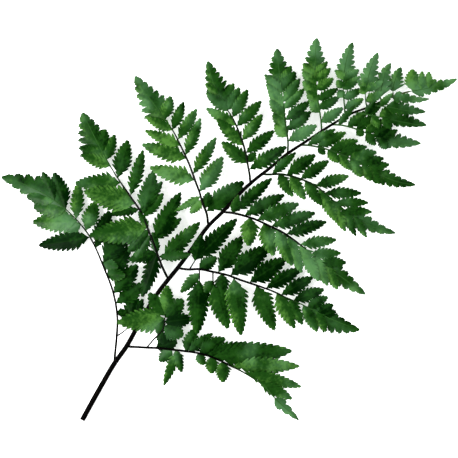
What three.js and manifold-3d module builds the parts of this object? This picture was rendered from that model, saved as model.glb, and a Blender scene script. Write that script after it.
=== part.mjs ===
import * as THREE from "three";
import { mergeVertices } from "three/addons/utils/BufferGeometryUtils.js";
import Module from "manifold-3d";

// A cut frond of leatherleaf fern, laid on its own leaflet tips. Millimetres, +X from the cut end
// to the tip, +Y to the frond's left, +Z up. Each point below is written in the frond's own plan,
// measured from the middle of the cut end; the whole frond is then moved so that its origin is
// under the middle of its box.

// stipe and rachis: plan x, plan y, height of the middle, radius
const RACHIS = [
  [0, 0, 2.08, 2.25], [22, 7.5, 3.3, 2.25], [50, 16.5, 5.7, 2.2], [70, 21, 8, 2.1],
  [85, 26, 10, 2], [100, 31, 12, 1.95], [122, 37, 15.2, 1.9], [147, 41, 18.8, 1.85],
  [165, 44.5, 21, 1.75], [188, 49.5, 23.8, 1.7], [207, 50.5, 25.4, 1.6], [238, 52.5, 27, 1.5],
  [262, 51, 27.4, 1.4], [281, 50, 27.2, 1.3], [300, 47, 26.4, 1.2], [325, 43, 24.4, 1.1],
  [343, 39, 22, 1], [357, 33.5, 19.6, 0.95], [372, 28.5, 17, 0.85], [382, 25, 15, 0.8],
  [393, 19.5, 12.8, 0.7],
];
const STUB = 2.2; // length of the dark foot of a pinna's stalk beyond the rachis's surface
const SEAT = 0.4; // gap between that dark foot and the green stalk that carries on from it

const BLADE = 0.75; // thickness of a leaflet, measured upright
const FLOOR = BLADE / 2; // lowest height of a leaflet's middle surface, where it lies on the table
const SOFT = 0.8; // how gently a drooping leaflet meets the table
const CAMBER = 0.2; // fall of a leaflet from its midrib to its edge, per mm
const TURN = 0.2; // tilt of a leaflet about its midrib, so that each lies over the next like a tile
const BOW = 0.005; // sideways curve of a leaflet, per length
const SHOULDER = 0.2; // where the narrow foot of a leaflet ends, along its length
const SWEEP = 0.3; // forward lean of the teeth, per mm of width
const NOTCH = 0.24; // depth of the notches between the teeth, per half width
const LOBE_NOTCH = 0.5; // depth of the notches between the lobes of a pinna's end blade at its base
const LONG = 40; // leaflets longer than this have three teeth a side here, the rest two or one
const SHORT = 24;
const COSTA_FOOT = 0.95; // radius of a pinna's stalk at its foot and at its tip
const COSTA_TIP = 0.78;

// Each pinna: "costa" is the plan line of its stalk, "lift" its arch over a straight fall, "end"
// the height of its tip before it meets the table, "drop" the fall of its left and right leaflets
// per length, "apex" the start of its toothed end blade along the costa, that blade's left and
// right half width and its teeth a side, "stalks" the side stalks of a twice divided leaflet.
// A leaflet is foot x, foot y, tip x, tip y, width and, where it has its own, its fall per length.
const PINNAE = [
  {"name": "pinna_left_01", "lift": 14, "end": -4, "drop": [0.16, 0.22], "apex": [150, 15, 17, 6],
    "costa": [[52, 18], [60, 24], [70, 33], [80, 43], [88, 54], [95, 67], [101, 83], [107, 100],
      [110.5, 115], [111, 133], [109, 150], [104, 168], [96, 186], [88, 199]],
    "stalks": [[[70, 33], [77, 32], [83, 32]]],
    "leaflets": [[109.5, 111, 72, 135, 13.5], [110, 127, 82, 153, 15], [110, 141, 91, 162, 13],
      [107, 154, 93, 173, 10], [112, 117, 134, 130, 12], [111, 130, 134, 152, 10],
      [111, 141, 124, 172, 13], [107, 153, 117, 179, 9], [88, 54, 118, 50, 12], [92, 62, 124, 66, 14],
      [98, 75, 129, 82, 14], [102, 86, 146, 98, 16], [108, 100, 137, 116, 13],
      [99, 79, 110, 66, 9, -0.1], [82, 32.5, 108, 52, 12, 0.1], [83, 32, 108, 41.5, 9, 0.05]]},
  {"name": "pinna_left_02", "lift": 10, "end": -4, "drop": [0.04, 0.24], "apex": [118, 20, 14, 6],
    "costa": [[134, 40], [138, 50], [142, 60], [146, 70], [150, 80], [153, 88], [156, 97], [157.5, 106],
      [159, 118], [161, 133], [164, 148], [168, 165], [176, 193]],
    "stalks": [],
    "leaflets": [[141, 54.5, 188, 57, 12], [142, 59, 163, 42, 8, -0.12], [149, 71, 193, 87, 13],
      [156, 94, 188, 116, 13], [157, 92, 181, 96, 9], [160, 113, 193, 135, 10],
      [161, 131, 189, 150, 13], [164, 149, 184, 161, 8], [142, 62, 108, 43, 11], [141, 63, 121, 74, 9],
      [143, 62, 152, 78, 6, 0.0], [149, 83, 155, 99, 5, 0.0], [149, 82, 125, 79, 10],
      [149, 84, 110, 112, 17], [156, 105, 132, 143, 17], [159, 127, 131, 153, 13],
      [163, 143, 151, 167, 9], [164, 154, 154, 172, 9], [165, 157, 181, 170, 9], [151, 71, 178, 70, 9],
      [148, 77, 121, 70, 8], [165, 97, 187, 104, 9], [155, 100, 134, 114, 6]]},
  {"name": "pinna_left_03", "lift": 5, "end": -4, "drop": [0.07, 0.24], "apex": [100, 15, 14, 6],
    "costa": [[190, 50], [196, 58], [200, 68], [204, 76], [208, 86], [213, 98], [216, 107], [219, 117],
      [222, 128], [224, 141], [225.5, 155], [227, 170], [230, 186]],
    "stalks": [],
    "leaflets": [[197, 60, 238, 57.5, 15], [205, 76, 239, 85, 12.5], [210, 91, 246, 101, 9.5],
      [216, 107, 247, 122, 9], [220, 121, 250, 130, 9], [223, 130, 246, 142, 8], [202, 73, 177, 78, 5],
      [206, 87, 187, 120, 12.5], [215, 104, 195, 139, 12], [219, 116, 205, 146, 9],
      [222, 130, 213, 154, 8], [224, 143, 241, 153, 9]]},
  {"name": "pinna_left_04", "lift": 4, "end": -2, "drop": [0.1, 0.24], "apex": [76, 10, 14, 6],
    "costa": [[240, 53], [245, 58], [250, 66], [255, 74], [260, 84], [264, 94], [267, 104], [269, 115],
      [272, 128], [277, 141], [284, 154]],
    "stalks": [],
    "leaflets": [[248, 61, 284.5, 55, 11, -0.06], [255, 74, 286, 72, 9.5], [261, 84, 288, 89, 9.5],
      [265, 96, 295, 98, 9.5], [267, 104, 293, 113, 9], [269, 111, 289, 119, 8],
      [270, 117, 288, 125, 7], [251, 66, 246.5, 95, 10.5], [259, 80, 256.5, 112, 10],
      [265, 97, 256, 125, 9], [268, 110, 265, 135, 8]]},
  {"name": "pinna_left_05", "lift": 4, "end": 0, "drop": [0.12, 0.26], "apex": [54, 13.5, 13, 6],
    "costa": [[281, 50], [287, 56], [293, 64], [299, 73], [305, 81], [312, 91], [320, 102], [327, 112],
      [335, 122]],
    "stalks": [],
    "leaflets": [[287, 58, 315.5, 51, 10, -0.03], [294, 65, 320, 63, 9.5], [298, 72, 325, 70, 8.5],
      [304, 80, 329, 81, 7.5], [307, 85, 332, 90, 8], [312, 92, 333, 97, 10], [299, 73, 300.5, 94, 8],
      [304, 80, 304.5, 100, 7], [307, 84, 307.5, 106, 7], [312, 91, 312, 113, 7], [316, 97, 334, 103, 7]]},
  {"name": "pinna_left_06", "lift": 4, "end": 0, "drop": [0.12, 0.26], "apex": [44, 13, 12, 6],
    "costa": [[315, 45], [321, 52], [327, 61], [333, 70], [340, 79], [348, 88], [357, 98], [366, 106]],
    "stalks": [],
    "leaflets": [[319, 51, 342, 47, 8, 0.02], [326, 60, 346, 56, 7], [330, 67, 350, 62, 6.5],
      [335, 74, 353, 71, 7.5], [340, 79, 357, 79, 6.5], [333, 70, 332, 87, 8], [337, 76, 337, 93, 7],
      [342, 81, 342, 98, 6]]},
  {"name": "pinna_left_07", "lift": 4, "end": 2, "drop": [0.12, 0.36], "apex": [31, 9, 11, 6],
    "costa": [[338, 40], [345, 49], [351, 57], [358, 64], [366, 71], [376, 78], [386, 83]],
    "stalks": [],
    "leaflets": [[342, 46, 360, 41, 7, 0.05], [347, 53, 365, 48, 6.5], [352, 59, 371, 57, 6.5],
      [357, 64, 374, 62, 7]]},
  {"name": "pinna_left_08", "lift": 8, "end": 4, "drop": [0.08, 0.36], "apex": [15, 9, 11, 6],
    "costa": [[356, 33], [361, 40], [368, 47], [377, 53], [386, 58], [396, 62]],
    "stalks": [],
    "leaflets": [[359, 38, 376, 34, 7, 0.0], [366, 45, 382, 41, 6, 0.02]]},
  {"name": "pinna_left_09", "lift": 5, "end": 6, "drop": [0.12, 0.22], "apex": [5, 9, 9, 5],
    "costa": [[369, 29], [374, 35], [381, 40], [389, 45], [398, 48]],
    "stalks": [],
    "leaflets": []},
  {"name": "pinna_left_10", "lift": 0, "end": 8, "drop": [0.12, 0.22], "apex": [4, 7, 10, 5],
    "costa": [[380, 26], [385, 31], [391, 35], [397, 38], [402, 39.5]],
    "stalks": [],
    "leaflets": []},
  {"name": "pinna_right_01", "lift": 8, "end": -4, "drop": [0.18, 0.14], "apex": [140, 4, 6, 3],
    "costa": [[70, 20], [76, 15], [83, 8], [90, 1], [97, -7], [104, -15], [112, -25], [118, -35],
      [123, -47], [128, -60], [131.5, -72], [134, -84], [133.5, -97], [136, -124]],
    "stalks": [[[82, 9], [92, 10], [103, 11], [113, 19]]],
    "leaflets": [[109.5, 16, 78.3, 41.5, 16, -0.19], [111, 17.2, 133, 18, 13, -0.02],
      [113, 19, 131, 36, 11, -0.24], [88, 3, 105, -5, 11], [101, -11, 71, -25, 7.5],
      [107, -18, 132, -20, 8], [112, -25, 137, -30, 12], [121, -43, 110, -57, 10],
      [114, -30, 150, -50, 12], [121, -32, 172, -77, 17], [125, -51, 168, -91, 12.6],
      [129, -62, 157, -105, 10.6], [133, -77, 144, -107, 9.6], [105, -15, 124, -7, 10],
      [97.5, -11, 90, -27, 7], [112, 18.2, 115, 42, 11, -0.3], [108, 14.8, 127, 1, 12, 0.06],
      [104.5, 12.2, 112, -5, 13, 0.06], [96, 10.4, 110, 18.5, 7, -0.05]]},
  {"name": "pinna_right_02", "lift": 8, "end": -4, "drop": [0.26, 0.06], "apex": [122, 9, 16, 6],
    "costa": [[147, 40], [153, 34], [160, 28], [166, 20], [171, 13], [175, 7], [179, -1], [184, -10],
      [189, -19], [194, -29], [198, -39], [203, -50], [208, -63], [213, -76], [219, -89], [226, -102]],
    "stalks": [[[154, 33.5], [163, 36]], [[160, 27.5], [156, 23], [153, 20]],
      [[167, 18.5], [163, 14], [160, 10]]],
    "leaflets": [[162, 37, 213, 38, 13, -0.04], [162, 36, 181, 48, 9, -0.4], [161, 29, 178, 25.5, 9.5],
      [172, 17, 206, 24, 14], [175, 6, 218, 2, 15.5], [184, -9, 221, -15, 14], [190, -22, 225, -30, 11],
      [196, -35, 227, -42, 10.5], [201, -46, 227, -56, 10], [206, -57, 225, -63, 8],
      [160, 24, 135, 24, 8], [154, 21, 121, -12, 15], [158, 12, 144, -26, 14], [175, 2, 148, -38, 14.5],
      [185, -15, 172, -54, 13.5], [195, -31, 186, -64, 11], [199, -42, 193, -66, 8],
      [204, -54, 198, -79, 8], [209, -66, 204, -84, 7], [171, 12, 158, -3, 10]]},
  {"name": "pinna_right_03", "lift": 7, "end": -4, "drop": [0.24, 0.08], "apex": [98, 10, 12, 6],
    "costa": [[208, 50], [213, 44], [219, 35], [224, 26], [229, 14], [233, 4], [236, -8], [238, -20],
      [240, -33], [242, -46], [245, -60], [250, -83]],
    "stalks": [],
    "leaflets": [[213, 44, 258, 43.5, 10, 0.04], [213, 44, 227, 52, 6, -0.35], [219, 36, 256, 26, 11],
      [224, 26, 260, 12, 11.5], [229, 14, 265, -3, 11], [234, 1, 267, -15, 10], [238, -14, 263, -32, 9],
      [240, -26, 258, -43, 8], [242, -37, 256, -52, 8], [221, 32, 204, 14, 12], [227, 20, 214, -6, 12],
      [231, 9, 220, -23, 10.5], [234, -2, 222, -33, 9.5], [237, -14, 228, -48, 10],
      [239, -28, 231, -56, 9], [241, -42, 235, -64, 8]]},
  {"name": "pinna_right_04", "lift": 6, "end": -3, "drop": [0.24, 0.1], "apex": [88, 9, 8, 5],
    "costa": [[252, 51], [258, 47], [265, 41], [271, 33], [276, 24], [280, 14], [282, 2], [283.5, -10],
      [286, -23], [290, -37], [296, -50], [304, -62]],
    "stalks": [],
    "leaflets": [[259, 46, 287, 46, 7, -0.05], [270, 38, 298, 33.5, 10.5], [275, 27, 303, 22, 9],
      [279, 14, 307, 1, 9], [281, 4, 305, -17, 8.5], [283, -7, 304, -27, 7.5],
      [285, -17, 301, -35, 6.5], [264, 43, 260, 20, 8], [270, 35, 266, 11, 8.5],
      [277, 23, 273, -2, 8.5], [281, 10, 273, -22, 9], [282, -3, 273, -32, 9], [284, -15, 277, -41, 7],
      [287, -27, 283, -48, 6]]},
  {"name": "pinna_right_05", "lift": 5, "end": -2, "drop": [0.24, 0.1], "apex": [66, 9, 9, 6],
    "costa": [[293, 48], [299, 43], [305, 35], [310, 27], [315, 17], [319, 7], [323, -4], [327, -16],
      [334, -30], [344, -43]],
    "stalks": [],
    "leaflets": [[298, 44, 325, 38, 7, -0.03], [304, 38, 330, 30, 8.5], [309, 29, 333, 18, 8.5],
      [313, 21, 335, 9, 8], [317, 12, 338, 0, 9], [320, 4, 339, -8, 7.5], [323, -4, 339, -15, 7],
      [314, 21, 311, 4, 7], [318, 11, 314, -7, 8], [321, 1, 318, -15, 7], [324, -6, 322, -22, 7]]},
  {"name": "pinna_right_06", "lift": 4, "end": 0, "drop": [0.34, 0.1], "apex": [40, 12, 7, 6],
    "costa": [[325, 43], [331, 37], [337, 28], [342, 18], [347, 8], [353, -2], [361, -11], [371, -20]],
    "stalks": [],
    "leaflets": [[329, 39, 351, 42, 5, -0.2], [334, 33, 356, 31, 7], [338, 26, 359, 24, 7],
      [342, 19, 362, 16, 7], [346, 12, 364, 8, 7]]},
  {"name": "pinna_right_07", "lift": 5, "end": -2, "drop": [0.34, 0.04], "apex": [26, 12, 6, 6],
    "costa": [[345, 37], [351, 32], [357, 24], [363, 16], [370, 6], [377, -3], [385, -12]],
    "stalks": [],
    "leaflets": [[359, 21, 380, 19, 6]]},
  {"name": "pinna_right_08", "lift": 7, "end": 6, "drop": [0.34, 0.04], "apex": [14, 9, 6, 6],
    "costa": [[361, 32], [366, 27], [372, 20], [378, 12], [385, 4], [392, -3]],
    "stalks": [],
    "leaflets": []},
  {"name": "pinna_right_09", "lift": 12, "end": 7, "drop": [0.2, 0.1], "apex": [4, 6, 5, 5],
    "costa": [[377, 27], [383, 21], [389, 14], [395, 8], [402, 3]],
    "stalks": [],
    "leaflets": []},
  {"name": "frond_tip", "lift": 0, "end": -2, "drop": [0.1, 0.1], "apex": [2, 10, 7, 6],
    "costa": [[393, 19.5], [400, 15], [408, 10], [417, 4.5], [425, 1.5], [431, 0]],
    "stalks": [],
    "leaflets": [[396, 18, 408, 32, 11]]}
];

const wasm = await Module();
wasm.setup();

function curveThrough(points) {
  const places = points.map(([x, y, z]) => new THREE.Vector3(x, y, z));
  return new THREE.CatmullRomCurve3(places, false, "catmullrom", 0.5);
}

// a curve as evenly numbered samples with the length travelled at each
function sampled(points, perSpan) {
  const curve = curveThrough(points);
  const count = (points.length - 1) * perSpan;
  const list = [];
  let travelled = 0;
  for (let i = 0; i <= count; i += 1) {
    const p = curve.getPoint(i / count);
    if (i > 0) {
      travelled += p.distanceTo(list[i - 1].p);
    }
    list.push({ p, s: travelled });
  }
  return { list, length: travelled };
}

function polyline(points) {
  const list = [];
  let travelled = 0;
  points.forEach((p, i) => {
    if (i > 0) {
      travelled += p.distanceTo(points[i - 1]);
    }
    list.push({ p, s: travelled });
  });
  return { list, length: travelled };
}

function pointAt(line, s) {
  const { list } = line;
  const wanted = Math.min(Math.max(s, 0), line.length);
  let i = 1;
  while (i < list.length - 1 && list[i].s < wanted) {
    i += 1;
  }
  const span = list[i].s - list[i - 1].s;
  const t = span > 0 ? (wanted - list[i - 1].s) / span : 0;
  return list[i - 1].p.clone().lerp(list[i].p, t);
}

function headingAt(line, s) {
  const reach = 3;
  return pointAt(line, s + reach).sub(pointAt(line, s - reach)).normalize();
}

// the point of a line that is nearest to a plan point, with the length travelled there
function nearestOn(line, x, y) {
  let best = { away: Infinity };
  for (let i = 1; i < line.list.length; i += 1) {
    const a = line.list[i - 1];
    const b = line.list[i];
    const dx = b.p.x - a.p.x;
    const dy = b.p.y - a.p.y;
    const along = ((x - a.p.x) * dx + (y - a.p.y) * dy) / (dx * dx + dy * dy);
    const t = Math.min(Math.max(along, 0), 1);
    const p = a.p.clone().lerp(b.p, t);
    const away = Math.hypot(p.x - x, p.y - y);
    if (away < best.away) {
      best = { p, s: a.s + (b.s - a.s) * t, away };
    }
  }
  return best;
}

function solid(positions, triangles) {
  const raw = new THREE.BufferGeometry();
  raw.setAttribute("position", new THREE.Float32BufferAttribute(positions, 3));
  raw.setIndex(triangles);
  const merged = mergeVertices(raw, 1e-4);
  const mesh = new wasm.Mesh({
    numProp: 3,
    vertProperties: new Float32Array(merged.attributes.position.array),
    triVerts: new Uint32Array(merged.index.array),
  });
  return new wasm.Manifold(mesh);
}

// tapered tube through rings of the given middles, headings and radii
function tube(rings, sides) {
  const up = new THREE.Vector3(0, 0, 1);
  const positions = [];
  const triangles = [];
  for (const ring of rings) {
    const across = new THREE.Vector3().crossVectors(up, ring.heading).normalize();
    const above = new THREE.Vector3().crossVectors(ring.heading, across).normalize();
    for (let k = 0; k < sides; k += 1) {
      const angle = ((k + 0.5) / sides) * 2 * Math.PI;
      const v = ring.p.clone();
      v.addScaledVector(across, ring.radius * Math.cos(angle));
      v.addScaledVector(above, ring.radius * Math.sin(angle));
      positions.push(v.x, v.y, v.z);
    }
  }
  const last = (rings.length - 1) * sides;
  for (let i = 0; i < rings.length - 1; i += 1) {
    for (let k = 0; k < sides; k += 1) {
      const a = i * sides + k;
      const b = i * sides + ((k + 1) % sides);
      triangles.push(a, b, b + sides, a, b + sides, a + sides);
    }
  }
  for (let k = 1; k < sides - 1; k += 1) {
    triangles.push(0, k + 1, k, last, last + k, last + k + 1);
  }
  return solid(positions, triangles);
}

function ringsAlong(line, from, to, radiusFrom, radiusTo, count) {
  const rings = [];
  for (let i = 0; i < count; i += 1) {
    const t = i / (count - 1);
    const s = from + (to - from) * t;
    const p = pointAt(line, s);
    p.z = settled(p.z);
    rings.push({ p, heading: headingAt(line, s), radius: radiusFrom + (radiusTo - radiusFrom) * t });
  }
  return rings;
}

function settled(z) {
  const soft = SOFT * Math.log(1 + Math.exp((z - FLOOR) / SOFT)) - 0.05;
  return FLOOR + Math.max(0, soft);
}

// closed blade from a pointed foot, between a left margin, a midrib and a right margin, each
// running base to tip and ending at the same tip; both faces are split into the same triangles
function blade(foot, left, middle, right) {
  const surface = [...middle, ...left, ...right, foot];
  const tipIndex = middle.length - 1;
  const leftFirst = middle.length;
  const rightFirst = leftFirst + left.length;
  const footIndex = surface.length - 1;
  const triangles = [[footIndex, rightFirst, leftFirst], [leftFirst, rightFirst, 0]];
  function strip(first, margin, flip) {
    let i = 0;
    let j = 0;
    const edge = (n) => (n < margin.length ? first + n : tipIndex);
    while (i < tipIndex || j < margin.length) {
      const nextEdge = j + 1 < margin.length ? margin[j + 1].u : 1;
      const nextMiddle = i < tipIndex ? middle[i + 1].u : Infinity;
      const stepEdge = j < margin.length && nextEdge <= nextMiddle;
      const face = stepEdge ? [i, edge(j), edge(j + 1)] : [i, edge(j), i + 1];
      if (new Set(face).size === 3) {
        triangles.push(flip ? [face[0], face[2], face[1]] : face);
      }
      if (stepEdge) {
        j += 1;
      } else {
        i += 1;
      }
    }
  }
  strip(leftFirst, left, true);
  strip(rightFirst, right, false);
  const rim = [footIndex];
  right.forEach((p, n) => rim.push(rightFirst + n));
  rim.push(tipIndex);
  for (let n = left.length - 1; n >= 0; n -= 1) {
    rim.push(leftFirst + n);
  }
  const count = surface.length;
  const positions = [];
  for (const lift of [BLADE / 2, -BLADE / 2]) {
    for (const p of surface) {
      positions.push(p.x, p.y, settled(p.z) + lift);
    }
  }
  const faces = [];
  for (const [a, b, c] of triangles) {
    faces.push(a, b, c, a + count, c + count, b + count);
  }
  rim.forEach((a, n) => {
    const b = rim[(n + 1) % rim.length];
    faces.push(a, a + count, b + count, a, b + count, b);
  });
  return solid(positions, faces);
}

// half width of a leaflet along its length, as a part of its greatest half width
function profile(u) {
  return Math.min(u / 0.35, 1) ** 0.7 * (1.12 - 0.28 * u) * (1 - u ** 3.2) ** 0.9;
}

function leafletMargin(length, width, teeth) {
  const half = (width / 2) * 1.14;
  const points = [{ u: SHOULDER, out: half * profile(SHOULDER) }];
  for (let k = 0; k < teeth; k += 1) {
    const peak = SHOULDER + ((1 - SHOULDER) * (k + (k === teeth - 1 ? 0.55 : 0.72))) / teeth;
    const out = half * profile(peak);
    points.push({ u: peak + (SWEEP * out) / length, out: out * 1.05 });
    if (k < teeth - 1) {
      const valley = SHOULDER + ((1 - SHOULDER) * (k + 1)) / teeth;
      const dip = half * profile(valley) * (1 - NOTCH);
      points.push({ u: valley + (SWEEP * dip) / length, out: dip });
    }
  }
  return points;
}

function leaflet(foot, tipX, tipY, width, fall, bow, turn) {
  const length = Math.hypot(tipX - foot.x, tipY - foot.y);
  const along = new THREE.Vector3((tipX - foot.x) / length, (tipY - foot.y) / length, 0);
  const aside = new THREE.Vector3(-along.y, along.x, 0);
  const teeth = length > LONG ? 3 : length > SHORT ? 2 : 1;
  function place(u, out) {
    const p = foot.clone();
    p.addScaledVector(along, u * length);
    p.addScaledVector(aside, out + bow * length * Math.sin(Math.PI * u));
    p.z += -fall * length * u ** 1.3 - CAMBER * Math.abs(out) + turn * out;
    return { x: p.x, y: p.y, z: p.z, u };
  }
  const margin = leafletMargin(length, width, teeth);
  const middle = (teeth > 2 ? [0.3, 0.65, 1] : [0.42, 1]).map((u) => place(u, 0));
  const left = margin.map((m) => place(m.u, m.out));
  const right = margin.map((m) => place(m.u, -m.out));
  return blade(place(0, 0), left, middle, right);
}

// toothed end blade that follows the last part of a costa
function endBlade(line, start, leftHalf, rightHalf, teeth) {
  const span = line.length - start;
  function place(u, out) {
    const s = start + span * u;
    const heading = headingAt(line, s);
    const p = pointAt(line, Math.min(s + 0.45 * Math.abs(out), line.length));
    const level = Math.hypot(heading.x, heading.y);
    p.x -= (heading.y / level) * out;
    p.y += (heading.x / level) * out;
    p.z -= CAMBER * Math.abs(out);
    return { x: p.x, y: p.y, z: p.z, u };
  }
  function margin(half, sign) {
    const points = [];
    for (let k = 0; k <= teeth; k += 1) {
      const valley = 0.05 + (0.95 * k) / (teeth + 0.35);
      const depth = k > 0 ? LOBE_NOTCH * (1 - 0.6 * valley) : 0.75;
      points.push(place(valley, sign * half * (1 - valley) ** 0.8 * (1 - depth)));
      if (k < teeth) {
        const peak = 0.05 + (0.95 * (k + 0.7)) / (teeth + 0.35);
        points.push(place(peak, sign * half * (1 - peak) ** 0.8 * 1.12));
      }
    }
    return points;
  }
  const middle = [0.15, 0.4, 0.7, 1].map((u) => place(u, 0));
  return blade(place(0, 0), margin(leftHalf, 1), middle, margin(rightHalf, -1));
}

function plantOf(pinna) {
  const plan = pinna.costa;
  const travelled = [0];
  for (let i = 1; i < plan.length; i += 1) {
    travelled.push(travelled[i - 1] + Math.hypot(plan[i][0] - plan[i - 1][0], plan[i][1] - plan[i - 1][1]));
  }
  const whole = travelled[plan.length - 1];
  const root = nearestOn(rachisLine, plan[0][0], plan[0][1]);
  const points = plan.map((p, i) => {
    const t = travelled[i] / whole;
    const arch = pinna.lift * Math.sin(Math.PI * t ** 0.6);
    return [p[0], p[1], root.p.z + (pinna.end - root.p.z) * t ** 1.6 + arch];
  });
  points[0] = [root.p.x, root.p.y, root.p.z];
  return sampled(points, 8);
}

const rachisLine = sampled(RACHIS, 8);

function rachisRadius(x) {
  let i = 1;
  while (i < RACHIS.length - 1 && RACHIS[i][0] < x) {
    i += 1;
  }
  const t = (x - RACHIS[i - 1][0]) / (RACHIS[i][0] - RACHIS[i - 1][0]);
  return RACHIS[i - 1][3] + (RACHIS[i][3] - RACHIS[i - 1][3]) * Math.min(Math.max(t, 0), 1);
}

function mainStem() {
  const rings = RACHIS.map((r) => {
    const near = nearestOn(rachisLine, r[0], r[1]);
    return { p: near.p, heading: headingAt(rachisLine, near.s), radius: r[3] };
  });
  let stem = tube(rings, 8);
  for (const pinna of PINNAE) {
    if (pinna.name === "frond_tip") {
      continue;
    }
    const line = plantOf(pinna);
    const root = pinna.costa[0];
    const reach = rachisRadius(root[0]) + STUB;
    stem = stem.add(tube(ringsAlong(line, 0.1, reach, COSTA_FOOT, COSTA_FOOT, 2), 4));
  }
  return stem;
}

function greenPart(pinna) {
  const line = plantOf(pinna);
  const isTip = pinna.name === "frond_tip";
  const start = isTip ? SEAT : rachisRadius(pinna.costa[0][0]) + STUB + SEAT;
  const [apexStart, leftHalf, rightHalf, teeth] = pinna.apex;
  const last = apexStart + 3;
  const count = Math.max(4, Math.round((last - start) / 17) + 1);
  const rings = ringsAlong(line, start, last, COSTA_FOOT, COSTA_TIP, count);
  const spine = polyline(rings.map((ring) => ring.p));
  let body = tube(rings, 4);
  const stalks = pinna.stalks.map((plan) => {
    const root = nearestOn(spine, plan[0][0], plan[0][1]).p;
    const points = plan.map((p, i) => {
      const rise = i ? 0.08 * i * Math.abs(p[0] - plan[i - 1][0]) : 0;
      return i ? [p[0], p[1], root.z + rise] : [root.x, root.y, root.z];
    });
    const side = sampled(points, 8);
    return ringsAlong(side, 0, side.length, COSTA_TIP, COSTA_TIP, 4);
  });
  for (const stalk of stalks) {
    body = body.add(tube(stalk, 4));
  }
  const sideSpines = stalks.map((stalk) => polyline(stalk.map((ring) => ring.p)));
  for (const [footX, footY, tipX, tipY, width, ownFall] of pinna.leaflets) {
    const onCosta = nearestOn(spine, footX, footY);
    let foot = onCosta;
    for (const sideSpine of sideSpines) {
      const near = nearestOn(sideSpine, footX, footY);
      if (near.away < foot.away) {
        foot = near;
      }
    }
    const heading = headingAt(spine, onCosta.s);
    const side = heading.x * (tipY - foot.p.y) - heading.y * (tipX - foot.p.x) > 0 ? 1 : -1;
    const fall = ownFall ?? pinna.drop[side > 0 ? 0 : 1];
    body = body.add(leaflet(foot.p, tipX, tipY, width, fall, BOW * side, TURN * side));
  }
  return body.add(endBlade(line, apexStart, leftHalf, rightHalf, teeth));
}

function geometryOf(body) {
  const mesh = body.getMesh();
  const geometry = new THREE.BufferGeometry();
  const positions = Float32Array.from(mesh.vertProperties);
  geometry.setAttribute("position", new THREE.Float32BufferAttribute(positions, 3));
  geometry.setIndex(Array.from(mesh.triVerts));
  return geometry;
}

const stemMaterial = new THREE.MeshStandardMaterial({ color: "#12100c", roughness: 0.5, metalness: 0 });
const leafMaterial = new THREE.MeshStandardMaterial({ color: "#2f6b24", roughness: 0.5, metalness: 0 });

const plant = new THREE.Group();
const stemMesh = new THREE.Mesh(geometryOf(mainStem()), stemMaterial);
stemMesh.name = "stipe_and_rachis";
plant.add(stemMesh);
for (const pinna of PINNAE) {
  const mesh = new THREE.Mesh(geometryOf(greenPart(pinna)), leafMaterial);
  mesh.name = pinna.name;
  plant.add(mesh);
}

const box = new THREE.Box3().setFromObject(plant);
const centre = box.getCenter(new THREE.Vector3());
plant.position.set(-centre.x, -centre.y, -box.min.z);

const frond = new THREE.Group();
frond.add(plant);
export default frond;
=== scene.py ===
"""A cut frond of leatherleaf fern lying face up: the fine surfaces and finishes.

All plan points are millimetres in the frond's own plan: x runs from the middle of the cut end
to the tip, y to the frond's left, z up from the table.
"""
import math

import bpy
import numpy as np
from mathutils import Matrix, Vector


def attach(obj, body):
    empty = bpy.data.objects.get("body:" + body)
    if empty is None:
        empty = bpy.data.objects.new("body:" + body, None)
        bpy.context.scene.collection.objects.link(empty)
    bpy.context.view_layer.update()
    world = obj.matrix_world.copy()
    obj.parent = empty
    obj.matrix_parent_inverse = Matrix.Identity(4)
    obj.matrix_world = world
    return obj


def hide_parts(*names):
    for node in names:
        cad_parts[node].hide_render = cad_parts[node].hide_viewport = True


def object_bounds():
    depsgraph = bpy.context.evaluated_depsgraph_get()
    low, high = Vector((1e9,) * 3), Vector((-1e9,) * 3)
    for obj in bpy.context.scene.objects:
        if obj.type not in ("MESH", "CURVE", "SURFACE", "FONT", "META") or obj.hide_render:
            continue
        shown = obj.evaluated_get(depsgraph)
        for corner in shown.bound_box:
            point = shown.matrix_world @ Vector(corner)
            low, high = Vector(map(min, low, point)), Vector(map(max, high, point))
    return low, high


MM = 0.001

# stipe and rachis: plan x, plan y, height of the middle, radius
RACHIS = [
    [0, 0, 2.08, 2.25], [22, 7.5, 3.3, 2.25], [50, 16.5, 5.7, 2.2], [70, 21, 8, 2.1],
    [85, 26, 10, 2.0], [100, 31, 12, 1.95], [122, 37, 15.2, 1.9], [147, 41, 18.8, 1.85],
    [165, 44.5, 21, 1.75], [188, 49.5, 23.8, 1.7], [207, 50.5, 25.4, 1.6], [238, 52.5, 27, 1.5],
    [262, 51, 27.4, 1.4], [281, 50, 27.2, 1.3], [300, 47, 26.4, 1.2], [325, 43, 24.4, 1.1],
    [343, 39, 22, 1.0], [357, 33.5, 19.6, 0.95], [372, 28.5, 17, 0.85], [382, 25, 15, 0.8],
    [393, 19.5, 12.8, 0.7],
]
STUB = 2.2  # length of the dark foot of a pinna's stalk beyond the rachis's surface
TIP_X = 431  # plan x of the frond's tip, the furthest point of the frond that way
SIDE_Y = 199  # plan y of the first left pinna's tip, the furthest point to the left

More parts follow.
